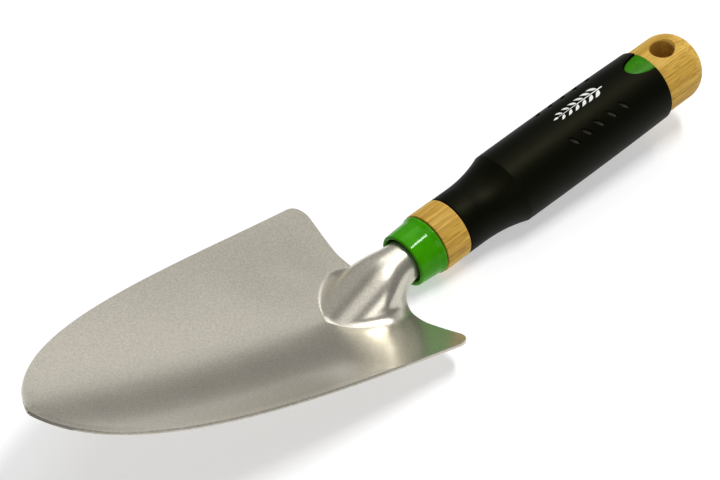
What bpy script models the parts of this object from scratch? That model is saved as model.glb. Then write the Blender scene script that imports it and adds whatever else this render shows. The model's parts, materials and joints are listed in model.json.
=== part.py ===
"""Hand trowel: stamped steel blade, tang, green ferrule, ash handle, rubber grip.

Lengths are in metres. The blade is drawn in its own frame: +X runs to the tip, +Z rises out of
the hollow and Y = 0 is the plane of symmetry. The handle is drawn on its own axis: a station is
the distance from the front of the grip towards the butt. Two empties carry the blade frame and
the handle axis. At the end the trowel lies on its back as it does on a bench, with the origin
under the middle of its bounding box.
"""

import math

import bmesh
import bpy
from mathutils import Vector
from mathutils.geometry import interpolate_bezier

GAP = 0.0003
MERGE = 0.00001
RIGHT = math.radians(90)
SMOOTH_ANGLE = math.radians(35)

# Blade sheet, in the blade frame
SHEET = 0.0012
REAR_X = 0.030
CORNER_RADIUS = 0.007
RIM_Z = 0.01435
RIM_LIFT = 0.0014
RIM_LOW_X = 0.117
FLOOR_X = 0.062
FLOOR_Z = 0.0008
OUTLINE = ((0.037, 0.0488), (0.0995, 0.0433), (0.1889, 0.0412), (0.2006, 0.0))
TIP_X = OUTLINE[3][0]
FLOOR_CURVE = (RIM_Z + RIM_LIFT - FLOOR_Z) / (TIP_X - FLOOR_X) ** 2
REAR_POWER = 1.5
FRONT_POWER = 2.0
POWER_TURN = (0.034, 0.090)

# Neck pressed out of the sheet, in the blade frame
NECK_END_X = 0.0187
STEEP_END_X = 0.034
SWELL_END_X = 0.060
NECK_RADIUS = 0.0085
SWELL_RADIUS = 0.014
SWELL_FILLET = 0.005
NECK_TAPER = (0.0225, 0.040)
WALL_ANGLES = (math.radians(90), math.radians(70))
WALL_TURN = (0.024, 0.034)
CREST_BEND_X = 0.030
CREST_BEND_RADIUS = 0.030
CREST_FRONT_ANGLE = math.radians(42)
NOTCH_START_X = 0.0185
NOTCH_ROUNDNESS = 1.6
SKIRT_END = 0.59
CROWN_PART = 0.5
WALL_PART = 0.7
WALL_LONGEST = 0.05
BESIDE_PART = 0.3
BESIDE_REACH = 0.008
BESIDE_SHARE = 0.35

# Mesh of the sheet: how far from the middle its finer columns reach, and its front rows
MIDDLE_REACH = 0.009
MIDDLE_SHARE = 0.19
NOSE_START_X = 0.150
BESIDE_COLUMNS = 2
WING_COLUMNS = 4

# Handle axis in the blade frame
HANDLE_TILT = math.radians(19.0)
HANDLE_START = Vector((-0.00345, 0.0, 0.0240))

# Ferrule, as stations and radii
FERRULE_FRONT = -0.0252
FERRULE_REAR = -0.0124
FERRULE_BORE = 0.0102
FERRULE_MOUTH = 0.0096
FERRULE_LIP_RADIUS = 0.0113
FERRULE_SIDE = ((-0.0220, 0.0115), (-0.0180, 0.01175), (-0.0152, 0.0119))
FERRULE_RIM_RADIUS = 0.0126
FERRULE_RIM_ROUNDING = 0.0009
FERRULE_STEP = (0.0020, 0.0032)
PIN_STATION = -0.0156
PIN_ANGLE = math.radians(80)
PIN_RADIUS = 0.0007
PIN_LENGTH = 0.0045
PIN_HEAD_RADIUS = 0.0117
PIN_SINK = 0.0001
PIN_HOLE = (0.002, 0.003)

# Wooden handle
CORE_FRONT = -0.0200
CORE_EDGE = 0.0004
COLLAR_RADIUS = 0.0128
SEAT_RADIUS = 0.0105
BUTT_STATION = 0.1120
BUTT_RADIUS = 0.0148
BUTT_END = 0.1376
BUTT_ROUNDING = 0.0110
HOLE_STATION = 0.1217
HOLE_RADIUS = 0.005
HOLE_RIM_RADIUS = 0.0059
HOLE_RIM_DEPTH = 0.0011
HOLE_CUT_EXTRA = 0.0015

# Tang
TANG_HEAD = (-0.036, -0.0206)
TANG_HEAD_RADIUS = 0.0069
TANG_RADIUS = 0.0045
TANG_HEAD_NOSE = (0.004, 0.003)
TANG_CHAMFER = 0.0008
TANG_TIP_RADIUS = 0.003
TANG_POINT = (0.004, 0.001)
TANG_END = 0.070

# Rubber grip
GRIP_FRONT = 0.00015
GRIP_REAR = 0.1117
GRIP_BORE = SEAT_RADIUS + GAP
GRIP_NECK_RADIUS = 0.0127
GRIP_RADIUS = 0.0162
GRIP_BULGE_STATION = 0.060
GRIP_BULGE_TAPER = 0.00045
FLARE_START = 0.008
FLARE_END_TOP = 0.0272
FLARE_END_BELOW = 0.0320
FLARE_POWER = 2.2
FLARE_SHARES = (0.0, 0.25, 0.45, 0.62, 0.77, 0.90, 1.0)
BODY_STATIONS = (0.036, 0.050, 0.070, 0.090)
GRIP_EDGE = 0.0005
GRIP_SEGMENTS = 40
THUMB_DEPTH = 0.0009
THUMB_ANGLE = math.radians(62)
NOTCH_COUNT = 5
NOTCH_START = 0.0600
NOTCH_PITCH = 0.0071
NOTCH_ANGLE = math.radians(38.5)
NOTCH_SLANT = math.radians(38)
NOTCH_SIZE = (0.0062, 0.0020, 0.0012)
NOTCH_CORNERS = ((-0.5, 0.25, 1.2), (0.5, 0.5, 1.2), (0.3, 0.05, -1.0), (-0.45, 0.05, -0.3))
INLAY_LENGTH = 0.0112
INLAY_HALF_WIDTH = 0.0055
INLAY_RADIUS = 0.0153
INLAY_FLOOR = 0.0131
INLAY_CLEARANCE = 0.0004
INLAY_CUT_RADIUS = 0.020
INLAY_CUT_REAR = 0.002
TONGUE_STEPS = 14


def clear_objects():
    for obj in list(bpy.data.objects):
        bpy.data.objects.remove(obj, do_unlink=True)


def material(name, colour, roughness, metallic=0.0):
    made = bpy.data.materials.new(name)
    made.use_nodes = True
    shader = made.node_tree.nodes["Principled BSDF"]
    shader.inputs["Base Color"].default_value = (*colour, 1.0)
    shader.inputs["Roughness"].default_value = roughness
    shader.inputs["Metallic"].default_value = metallic
    return made


def empty(name, location=(0.0, 0.0, 0.0), turn=0.0, parent=None):
    made = bpy.data.objects.new(name, None)
    made.location = location
    made.rotation_euler = (0.0, turn, 0.0)
    made.parent = parent
    bpy.context.collection.objects.link(made)
    return made


def mesh_object(name, bm, finish, parent, closed=True):
    mesh = bpy.data.meshes.new(name)
    if closed:
        bmesh.ops.recalc_face_normals(bm, faces=bm.faces)
    bm.to_mesh(mesh)
    bm.free()
    mesh.shade_smooth()
    mesh.set_sharp_from_angle(angle=SMOOTH_ANGLE)
    made = bpy.data.objects.new(name, mesh)
    made.parent = parent
    bpy.context.collection.objects.link(made)
    if finish:
        made.data.materials.append(finish)
    return made


def hide_guide(obj):
    obj.hide_render = True
    obj.display_type = "WIRE"


def boolean(obj, cutter, operation="DIFFERENCE"):
    hide_guide(cutter)
    made = obj.modifiers.new(cutter.name, "BOOLEAN")
    made.operation = operation
    made.object = cutter


def smoothstep(low, high, value):
    t = min(max((value - low) / (high - low), 0.0), 1.0)
    return t * t * (3.0 - 2.0 * t)


# ---------------------------------------------------------------- blade sheet


def outline_points(count):
    corners = [Vector((x, y, 0.0)) for x, y in OUTLINE]
    return interpolate_bezier(*corners, count)


OUTLINE_CURVE = outline_points(400)


def half_width(x):
    """Half the width of the blade at x, before its rear corners are rounded."""
    if x <= OUTLINE_CURVE[0].x:
        return OUTLINE_CURVE[0].y
    for near, far in zip(OUTLINE_CURVE, OUTLINE_CURVE[1:]):
        if x <= far.x:
            return near.y + (far.y - near.y) * (x - near.x) / (far.x - near.x)
    return 0.0


def rounded_half_width(x):
    """Half width with the rear corners rounded."""
    along = max(REAR_X + CORNER_RADIUS - x, 0.0)
    return half_width(x) - CORNER_RADIUS + math.sqrt(max(CORNER_RADIUS**2 - along**2, 0.0))


def rim_z(x):
    """Height of the rim, which sags a little between the shoulders and the tip."""
    return RIM_Z + RIM_LIFT * ((x - RIM_LOW_X) / (TIP_X - RIM_LOW_X)) ** 2


def floor_z(x):
    return FLOOR_Z + FLOOR_CURVE * (x - FLOOR_X) ** 2


def curve_power(x):
    """Power of the hollow's curve across: a parabola in front, straighter wings at the rear."""
    return REAR_POWER + (FRONT_POWER - REAR_POWER) * smoothstep(*POWER_TURN, x)


def dish_z(x, y):
    """Height of the hollow, which curves across between the floor line and the rim."""
    width = half_width(x)
    if width <= 0.0:
        return rim_z(x)
    return floor_z(x) + (rim_z(x) - floor_z(x)) * (y / width) ** curve_power(x)


def dish_slope(x, y):
    """Slope of the hollow across, at y."""
    power = curve_power(x)
    width = half_width(x)
    return power * (rim_z(x) - floor_z(x)) / width * (y / width) ** (power - 1.0)


def crest_z(x):
    """Side view of the neck's crest: handle slope, convex bend, front wall, fillet, floor."""
    slope = HANDLE_TILT
    front = CREST_FRONT_ANGLE
    start_z = HANDLE_START.z + (HANDLE_START.x - CREST_BEND_X) * math.tan(slope)
    start_z += NECK_RADIUS / math.cos(slope)
    if x <= CREST_BEND_X:
        return start_z + (CREST_BEND_X - x) * math.tan(slope)
    bend_x = CREST_BEND_X + CREST_BEND_RADIUS * (math.sin(front) - math.sin(slope))
    if x <= bend_x:
        sine = math.sin(slope) + (x - CREST_BEND_X) / CREST_BEND_RADIUS
        return start_z - CREST_BEND_RADIUS * (math.cos(slope) - math.sqrt(1.0 - sine * sine))
    bend_z = start_z - CREST_BEND_RADIUS * (math.cos(slope) - math.cos(front))
    fillet_drop = SWELL_FILLET * (1.0 - math.cos(front))
    wall_x = bend_x + (bend_z - fillet_drop - FLOOR_Z) / math.tan(front)
    if x <= wall_x:
        return bend_z - (x - bend_x) * math.tan(front)
    sine = math.sin(front) - (x - wall_x) / SWELL_FILLET
    if sine <= 0.0:
        return floor_z(x)
    return max(FLOOR_Z + SWELL_FILLET * (1.0 - math.sqrt(1.0 - sine * sine)), floor_z(x))


def neck_section(x):
    """Crown radius, wall angle, wall length and end point of the neck's cross-section at x."""
    top = crest_z(x)
    radius = NECK_RADIUS + (SWELL_RADIUS - NECK_RADIUS) * smoothstep(*NECK_TAPER, x)
    steep = WALL_ANGLES[0] + (WALL_ANGLES[1] - WALL_ANGLES[0]) * smoothstep(*WALL_TURN, x)

    def foot(angle, wall):
        y = radius * math.sin(angle) + wall * math.cos(angle)
        z = top - radius * (1.0 - math.cos(angle)) - wall * math.sin(angle)
        rise = 0.0
        for _ in range(6):
            end_y = y + SWELL_FILLET * (math.sin(angle) + math.sin(rise))
            rise = math.atan(dish_slope(x, end_y))
        end_z = z - SWELL_FILLET * (math.cos(rise) - math.cos(angle))
        return end_y, end_z, rise

    def above(angle, wall):
        end_y, end_z, _ = foot(angle, wall)
        return end_z - dish_z(x, end_y)

    straight = above(steep, 0.0) > 0.0
    low, high = 0.0, WALL_LONGEST if straight else steep
    for _ in range(40):
        middle = 0.5 * (low + high)
        gap = above(steep, middle) if straight else above(middle, 0.0)
        if gap > 0.0:
            low = middle
        else:
            high = middle
    angle, wall = (steep, low) if straight else (low, 0.0)
    end_y, _, rise = foot(angle, wall)
    return top, radius, angle, wall, end_y, rise


def section_point(section, part):
    """Point (y, z) of a neck section, for a part from 0 at the crest to 1 at the foot."""
    top, radius, angle, wall, _, rise = section
    if part <= CROWN_PART:
        turn = angle * part / CROWN_PART
        return radius * math.sin(turn), top - radius * (1.0 - math.cos(turn))
    crown_y = radius * math.sin(angle)
    crown_z = top - radius * (1.0 - math.cos(angle))
    if part <= WALL_PART:
        down = wall * (part - CROWN_PART) / (WALL_PART - CROWN_PART)
        return crown_y + down * math.cos(angle), crown_z - down * math.sin(angle)
    wall_y = crown_y + wall * math.cos(angle)
    wall_z = crown_z - wall * math.sin(angle)
    turn = angle - (angle + rise) * (part - WALL_PART) / (1.0 - WALL_PART)
    y = wall_y + SWELL_FILLET * (math.sin(angle) - math.sin(turn))
    return y, wall_z - SWELL_FILLET * (math.cos(turn) - math.cos(angle))


def section_height(section, x, y):
    """Height of the sheet at y, where the neck section is no steeper than its wall angle."""
    top, radius, angle, wall, end_y, _ = section
    crown_y = radius * math.sin(angle)
    if y <= crown_y:
        return top - radius + math.sqrt(radius**2 - y**2)
    if y >= end_y:
        return dish_z(x, y)
    crown_z = top - radius * (1.0 - math.cos(angle))
    wall_y = crown_y + wall * math.cos(angle)
    if y <= wall_y:
        return crown_z - (y - crown_y) * math.tan(angle)
    wall_z = crown_z - wall * math.sin(angle)
    sine = math.sin(angle) - (y - wall_y) / SWELL_FILLET
    return wall_z - SWELL_FILLET * (math.sqrt(1.0 - sine * sine) - math.cos(angle))


def kept_part(x):
    """How much of its section the sheet keeps behind the wings; past 1 it reaches the wing."""
    along = min(max((x - NOTCH_START_X) / (REAR_X - NOTCH_START_X), 0.0), 1.0)
    bend = 1.0 - (1.0 - along**NOTCH_ROUNDNESS) ** (1.0 / NOTCH_ROUNDNESS)
    return SKIRT_END + (1.0 + BESIDE_PART - SKIRT_END) * bend


def sheet_point(x, section, part):
    """Point (y, z) of a part of the section at x, and past 1 of the wing beside its foot."""
    if part <= 1.0:
        return section_point(section, part)
    y = section[4] + BESIDE_REACH * (part - 1.0) / BESIDE_PART
    return y, dish_z(x, y)


def spaced(start, end, count):
    return [start + (end - start) * i / count for i in range(count)]


def neck_parts():
    """Places along a neck section: finer on the crown and on the fillet than on the wall."""
    return spaced(0.0, CROWN_PART, 4) + [CROWN_PART] + spaced(WALL_PART, 1.0, 3) + [1.0]


def blade_rows():
    """Stations of the sheet from the rear edge to the tip."""
    shoulder_x = REAR_X + CORNER_RADIUS
    rows = [shoulder_x - CORNER_RADIUS * math.cos(turn) for turn in spaced(0.0, RIGHT, 3)]
    rows += spaced(shoulder_x, SWELL_END_X, 9)
    rows += spaced(SWELL_END_X, NOSE_START_X, 5)
    nose = spaced(0.0, RIGHT, 7) + [RIGHT]
    rows += [NOSE_START_X + (TIP_X - NOSE_START_X) * math.sin(turn) for turn in nose]
    return rows


def sheet_row(x, parts):
    """Half a row of the blade, from the middle to the rim."""
    width = rounded_half_width(x)
    reach = min(MIDDLE_REACH, MIDDLE_SHARE * width)
    if x <= STEEP_END_X:
        section = neck_section(x)
        reach = section[4]
        points = [section_point(section, part) for part in parts]
    elif x < SWELL_END_X:
        section = neck_section(x)
        reach = max(section[4], reach)
        spread = [reach * spread_of(part) for part in parts]
        points = [(y, section_height(section, x, y)) for y in spread]
    else:
        spread = [reach * spread_of(part) for part in parts]
        points = [(y, dish_z(x, y)) for y in spread]
    points += [(y, dish_z(x, y)) for y in wing_places(reach, width)]
    return [(x, y, z) for y, z in points]


def wing_places(reach, width):
    """Places across the wing, from the foot of the neck to the rim."""
    beside = min(BESIDE_REACH, BESIDE_SHARE * (width - reach))
    inner = spaced(reach, reach + beside, BESIDE_COLUMNS)
    outer = spaced(reach + beside, width, WING_COLUMNS)
    return inner[1:] + outer + [width]


def spread_of(part):
    """Share of the neck's half width that a part of its section reaches at the base."""
    section = neck_section(STEEP_END_X)
    return section_point(section, part)[0] / section_point(section, 1.0)[0]


def blade_sheet():
    bm = bmesh.new()
    parts = neck_parts()
    beside = spaced(1.0, 1.0 + BESIDE_PART, BESIDE_COLUMNS)[1:] + [1.0 + BESIDE_PART]
    rows = []
    for turn in spaced(0.0, RIGHT, 5):
        x = NECK_END_X + (REAR_X - NECK_END_X) * math.sin(turn)
        section = neck_section(x)
        share = kept_part(x) / (1.0 + BESIDE_PART)
        rows.append([(x, *sheet_point(x, section, part * share)) for part in parts + beside])
    for x in blade_rows():
        rows.append(sheet_row(x, parts))
    grid = []
    for row in rows:
        left = [bm.verts.new((x, -y, z)) for x, y, z in reversed(row[1:])]
        right = [bm.verts.new(point) for point in row]
        grid.append(left + right)
    for near, far in zip(grid, grid[1:]):
        trim = (len(far) - len(near)) // 2
        matched = far[trim : len(far) - trim]
        for i in range(len(near) - 1):
            bm.faces.new((near[i], matched[i], matched[i + 1], near[i + 1]))
    bmesh.ops.remove_doubles(bm, verts=bm.verts, dist=MERGE)
    return bm


def make_blade(parent):
    steel = material("lacquered_steel", (0.42, 0.41, 0.38), 0.38, 0.9)
    blade = mesh_object("blade", blade_sheet(), steel, parent, closed=False)
    skin = blade.modifiers.new("sheet", "SOLIDIFY")
    skin.thickness = SHEET
    skin.offset = -1.0
    skin.use_even_offset = True
    return blade


# ---------------------------------------------------------------- handle pieces


def turned(name, profile, finish, parent, segments=32):
    """Solid of revolution about the handle axis from a closed outline of (station, radius)."""
    bm = bmesh.new()
    ring = [bm.verts.new((-station, 0.0, radius)) for station, radius in profile]
    edges = [bm.edges.new((ring[i - 1], ring[i])) for i in range(len(ring))]
    bmesh.ops.spin(
        bm,
        geom=ring + edges,
        cent=(0.0, 0.0, 0.0),
        axis=(1.0, 0.0, 0.0),
        angle=math.tau,
        steps=segments,
        use_merge=True,
    )
    bmesh.ops.remove_doubles(bm, verts=bm.verts, dist=MERGE)
    return mesh_object(name, bm, finish, parent)


def arc(centre, radius, start, end, steps):
    """Points of an arc; angles in degrees from the butt's direction towards the outside."""
    points = []
    for i in range(steps + 1):
        turn = math.radians(start + (end - start) * i / steps)
        points.append((centre[0] + radius * math.cos(turn), centre[1] + radius * math.sin(turn)))
    return points


def round_cutter(name, radius, start, end, parent, segments=16):
    """Cylinder along its own Z from start to end."""
    bm = bmesh.new()
    bmesh.ops.create_cone(
        bm,
        cap_ends=True,
        segments=segments,
        radius1=radius,
        radius2=radius,
        depth=end - start,
    )
    bmesh.ops.translate(bm, verts=bm.verts, vec=(0.0, 0.0, 0.5 * (start + end)))
    return mesh_object(name, bm, None, parent)


def make_ferrule(parent):
    green = material("green_enamel", (0.02, 0.30, 0.008), 0.22)
    lip = 0.5 * (FERRULE_LIP_RADIUS - FERRULE_MOUTH)
    rim = FERRULE_RIM_ROUNDING
    profile = [
        (FERRULE_REAR, FERRULE_BORE),
        (FERRULE_FRONT + FERRULE_STEP[1], FERRULE_BORE),
        (FERRULE_FRONT + FERRULE_STEP[0], FERRULE_MOUTH),
    ]
    profile += arc((FERRULE_FRONT + lip, FERRULE_MOUTH + lip), lip, 250, 90, 5)
    profile += FERRULE_SIDE
    profile += arc((FERRULE_REAR - rim, FERRULE_RIM_RADIUS - rim), rim, 120, 0, 4)
    return turned("ferrule", profile, green, parent, 36)


def make_core(parent):
    ash = material("ash_wood", (0.60, 0.40, 0.16), 0.55)
    edge = CORE_EDGE
    profile = [
        (TANG_END + GAP, 0.0),
        (TANG_END + GAP, TANG_TIP_RADIUS + GAP),
        (CORE_FRONT, TANG_RADIUS + GAP),
        (CORE_FRONT, FERRULE_BORE - GAP),
        (FERRULE_REAR + GAP, FERRULE_BORE - GAP),
        (FERRULE_REAR + GAP, COLLAR_RADIUS - edge),
        (FERRULE_REAR + GAP + edge, COLLAR_RADIUS),
        (GRIP_FRONT - GAP - edge, COLLAR_RADIUS),
        (GRIP_FRONT - GAP, COLLAR_RADIUS - edge),
        (GRIP_FRONT - GAP, SEAT_RADIUS),
        (BUTT_STATION, SEAT_RADIUS),
        (BUTT_STATION, BUTT_RADIUS - edge),
        (BUTT_STATION + edge, BUTT_RADIUS),
    ]
    rounding_centre = (BUTT_END - BUTT_ROUNDING, BUTT_RADIUS - BUTT_ROUNDING)
    profile += arc(rounding_centre, BUTT_ROUNDING, 90, 0, 7)
    profile += [(BUTT_END, 0.0)]
    core = turned("handle_core", profile, ash, parent, 36)
    boolean(core, hanging_hole_cutter(parent))
    boolean(core, pin_cutter("pin_bore", parent, 0.0, PIN_LENGTH + GAP))
    return core


def hanging_hole_cutter(parent):
    """Bore through the butt with a countersunk rim above and below."""
    deep = BUTT_RADIUS + HOLE_CUT_EXTRA
    slope = (HOLE_RIM_RADIUS - HOLE_RADIUS) / HOLE_RIM_DEPTH
    flare = HOLE_RADIUS + slope * (HOLE_CUT_EXTRA + HOLE_RIM_DEPTH)
    straight = BUTT_RADIUS - HOLE_RIM_DEPTH
    rims = [(-deep, flare), (-straight, HOLE_RADIUS), (straight, HOLE_RADIUS), (deep, flare)]
    bm = bmesh.new()
    line = [bm.verts.new((0.0, 0.0, -deep))]
    line += [bm.verts.new((radius, 0.0, height)) for height, radius in rims]
    line += [bm.verts.new((0.0, 0.0, deep))]
    edges = [bm.edges.new(pair) for pair in zip(line, line[1:])]
    bmesh.ops.spin(
        bm,
        geom=line + edges,
        cent=(0.0, 0.0, 0.0),
        axis=(0.0, 0.0, 1.0),
        angle=math.tau,
        steps=28,
        use_merge=True,
    )
    bmesh.ops.remove_doubles(bm, verts=bm.verts, dist=MERGE)
    cutter = mesh_object("hanging_hole", bm, None, parent)
    cutter.location = (-HOLE_STATION, 0.0, 0.0)
    return cutter


def pin_place(obj):
    """Lay an object's Z along the pin, pointing outwards at the pin's station and angle."""
    outward = Vector((0.0, math.sin(PIN_ANGLE), math.cos(PIN_ANGLE)))
    obj.location = Vector((-PIN_STATION, 0.0, 0.0)) + outward * PIN_HEAD_RADIUS
    obj.rotation_euler = (-PIN_ANGLE, 0.0, 0.0)


def pin_cutter(name, parent, outside, inside):
    cutter = round_cutter(name, PIN_RADIUS + GAP, -inside, outside, parent)
    pin_place(cutter)
    return cutter


def make_ferrule_pin(parent):
    iron = material("blackened_iron", (0.03, 0.03, 0.03), 0.5, 0.8)
    pin = round_cutter("ferrule_pin", PIN_RADIUS, -PIN_LENGTH, -PIN_SINK, parent)
    pin.data.materials.append(iron)
    pin_place(pin)
    return pin


def make_tang(parent):
    bare = material("bare_steel", (0.35, 0.35, 0.35), 0.45, 1.0)
    profile = [
        (TANG_HEAD[0], 0.0),
        (TANG_HEAD[0], TANG_HEAD_RADIUS - TANG_HEAD_NOSE[1]),
        (TANG_HEAD[0] + TANG_HEAD_NOSE[0], TANG_HEAD_RADIUS),
        (TANG_HEAD[1] - TANG_CHAMFER, TANG_HEAD_RADIUS),
        (TANG_HEAD[1], TANG_HEAD_RADIUS - TANG_CHAMFER),
        (TANG_HEAD[1], TANG_RADIUS),
        (CORE_FRONT, TANG_RADIUS),
        (TANG_END - TANG_POINT[0], TANG_TIP_RADIUS),
        (TANG_END, TANG_POINT[1]),
        (TANG_END, 0.0),
    ]
    return turned("tang", profile, bare, parent, 20)


# ---------------------------------------------------------------- rubber grip


def flare_end(angle):
    """Station of the ridge where the grip's front flare ends; angle 0 is the top."""
    return FLARE_END_TOP + (FLARE_END_BELOW - FLARE_END_TOP) * 0.5 * (1.0 - math.cos(angle))


def body_radius(station):
    away = (station - GRIP_BULGE_STATION) / (GRIP_REAR - GRIP_BULGE_STATION)
    return GRIP_RADIUS - GRIP_BULGE_TAPER * away * away


def flare_radius(share, angle):
    """Radius of the flare, from its start (share 0) to its ridge (share 1)."""
    ridge = body_radius(flare_end(angle))
    radius = GRIP_NECK_RADIUS + (ridge - GRIP_NECK_RADIUS) * share**FLARE_POWER
    if abs(angle) < THUMB_ANGLE:
        window = math.cos(0.5 * math.pi * angle / THUMB_ANGLE) ** 2
        radius -= THUMB_DEPTH * window * math.sin(math.pi * share)
    return radius


def grip_rings(angle):
    """(station, radius) of the grip's outside along one line at the given angle."""
    edge = GRIP_EDGE
    ring = [(GRIP_FRONT, GRIP_NECK_RADIUS - edge), (GRIP_FRONT + edge, GRIP_NECK_RADIUS)]
    end = flare_end(angle)
    for share in FLARE_SHARES:
        station = FLARE_START + (end - FLARE_START) * share
        ring.append((station, flare_radius(share, angle)))
    for station in BODY_STATIONS + (GRIP_REAR - edge,):
        ring.append((station, body_radius(station)))
    ring.append((GRIP_REAR, body_radius(GRIP_REAR) - edge))
    return ring


def make_sleeve(parent):
    rubber = material("black_rubber", (0.012, 0.012, 0.010), 0.45)
    bm = bmesh.new()
    columns = []
    for i in range(GRIP_SEGMENTS):
        angle = math.tau * i / GRIP_SEGMENTS
        signed = angle if angle <= math.pi else angle - math.tau
        line = [(GRIP_REAR, GRIP_BORE), (GRIP_FRONT, GRIP_BORE)] + grip_rings(signed)
        verts = []
        for station, radius in line:
            y = radius * math.sin(angle)
            z = radius * math.cos(angle)
            verts.append(bm.verts.new((-station, y, z)))
        columns.append(verts)
    for i in range(GRIP_SEGMENTS):
        near = columns[i - 1]
        far = columns[i]
        for j in range(len(near)):
            bm.faces.new((near[j - 1], near[j], far[j], far[j - 1]))
    sleeve = mesh_object("grip_sleeve", bm, rubber, parent)
    boolean(sleeve, inlay_cutter(parent))
    boolean(sleeve, dimple_cutter(parent))
    return sleeve


def tongue(length, half, low, high):
    """Upright solid with a half-elliptic plan, its straight end at the rear of the grip."""
    bm = bmesh.new()
    base = []
    for turn in spaced(0.0, math.pi, TONGUE_STEPS) + [math.pi]:
        x = length * math.sin(turn) - GRIP_REAR
        base.append(bm.verts.new((x, half * math.cos(turn), low)))
    face = bm.faces.new(base)
    made = bmesh.ops.extrude_face_region(bm, geom=[face])
    top = [item for item in made["geom"] if isinstance(item, bmesh.types.BMVert)]
    bmesh.ops.translate(bm, verts=top, vec=(0.0, 0.0, high - low))
    return bm


def inlay_cutter(parent):
    clear = INLAY_CLEARANCE
    bm = tongue(
        INLAY_LENGTH + clear,
        INLAY_HALF_WIDTH + clear,
        INLAY_FLOOR - GAP,
        INLAY_CUT_RADIUS,
    )
    rear = [vert for vert in bm.verts if abs(vert.co.x + GRIP_REAR) < MERGE]
    bmesh.ops.translate(bm, verts=rear, vec=(-INLAY_CUT_REAR, 0.0, 0.0))
    return mesh_object("inlay_recess", bm, None, parent)


def dimple_cutter(parent):
    """Two rows of slanted wedges that nick the grip on either side of its top."""
    long, wide, deep = NOTCH_SIZE
    bm = bmesh.new()
    for side in (-1.0, 1.0):
        for i in range(NOTCH_COUNT):
            station = NOTCH_START + NOTCH_PITCH * i
            angle = side * NOTCH_ANGLE
            outward = Vector((0.0, math.sin(angle), math.cos(angle)))
            around = Vector((0.0, math.cos(angle), -math.sin(angle))) * side
            rear = Vector((-1.0, 0.0, 0.0))
            along = around * math.cos(NOTCH_SLANT) + rear * math.sin(NOTCH_SLANT)
            across = rear * math.cos(NOTCH_SLANT) - around * math.sin(NOTCH_SLANT)
            centre = Vector((-station, 0.0, 0.0)) + outward * body_radius(station)
            points = []
            for place, half, height in NOTCH_CORNERS:
                middle = centre + along * long * place + outward * deep * height
                points += [middle + across * wide * half, middle - across * wide * half]
            corners = [bm.verts.new(point) for point in points]
            bmesh.ops.convex_hull(bm, input=corners)
    return mesh_object("dimples", bm, None, parent)


def make_inlay(parent):
    green = material("green_plastic", (0.05, 0.42, 0.02), 0.35)
    bm = tongue(INLAY_LENGTH, INLAY_HALF_WIDTH, INLAY_FLOOR, INLAY_CUT_RADIUS)
    inlay = mesh_object("grip_inlay", bm, green, parent)
    front = GRIP_REAR - 2.0 * INLAY_LENGTH
    rear = GRIP_REAR + INLAY_CUT_REAR
    profile = [(front, 0.0), (front, INLAY_RADIUS), (rear, INLAY_RADIUS), (rear, 0.0)]
    crown = turned("inlay_crown", profile, None, parent, 64)
    boolean(inlay, crown, "INTERSECT")
    return inlay


# ---------------------------------------------------------------- assembly


def world_points(objects):
    graph = bpy.context.evaluated_depsgraph_get()
    points = []
    for obj in objects:
        shape = obj.evaluated_get(graph)
        mesh = shape.to_mesh()
        points += [shape.matrix_world @ vert.co for vert in mesh.vertices]
        shape.to_mesh_clear()
    return points


def lowest_height(points, turn):
    """Lowest height of points given in the blade frame once turned about Y by -turn."""
    return min(point.x * math.sin(turn) + point.z * math.cos(turn) for point in points)


def resting_turn(front_points, rear_points):
    """Angle at which the blade and the grip touch the same flat surface."""
    low = math.radians(5.0)
    high = math.radians(30.0)
    for _ in range(50):
        turn = 0.5 * (low + high)
        if lowest_height(front_points, turn) > lowest_height(rear_points, turn):
            high = turn
        else:
            low = turn
    return 0.5 * (low + high)


def main():
    clear_objects()
    rest = empty("rest_pose")
    handle = empty("handle_axis", HANDLE_START, HANDLE_TILT, rest)
    blade = make_blade(rest)
    ferrule = make_ferrule(handle)
    boolean(ferrule, pin_cutter("pin_hole", handle, *PIN_HOLE))
    sleeve = make_sleeve(handle)
    pieces = [
        blade,
        make_tang(handle),
        ferrule,
        make_ferrule_pin(handle),
        make_core(handle),
        sleeve,
        make_inlay(handle),
    ]
    bpy.context.view_layer.update()
    turn = resting_turn(world_points([blade]), world_points([sleeve]))
    rest.rotation_euler = (0.0, -turn, 0.0)
    bpy.context.view_layer.update()
    points = world_points(pieces)
    centre_x = 0.5 * (min(p.x for p in points) + max(p.x for p in points))
    rest.location = (-centre_x, 0.0, -min(p.z for p in points))
    bpy.context.view_layer.update()


main()
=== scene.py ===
import json
import math

import bmesh
import bpy
import numpy as np
from mathutils import Euler, Matrix, Vector
from mathutils.geometry import interpolate_bezier


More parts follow.
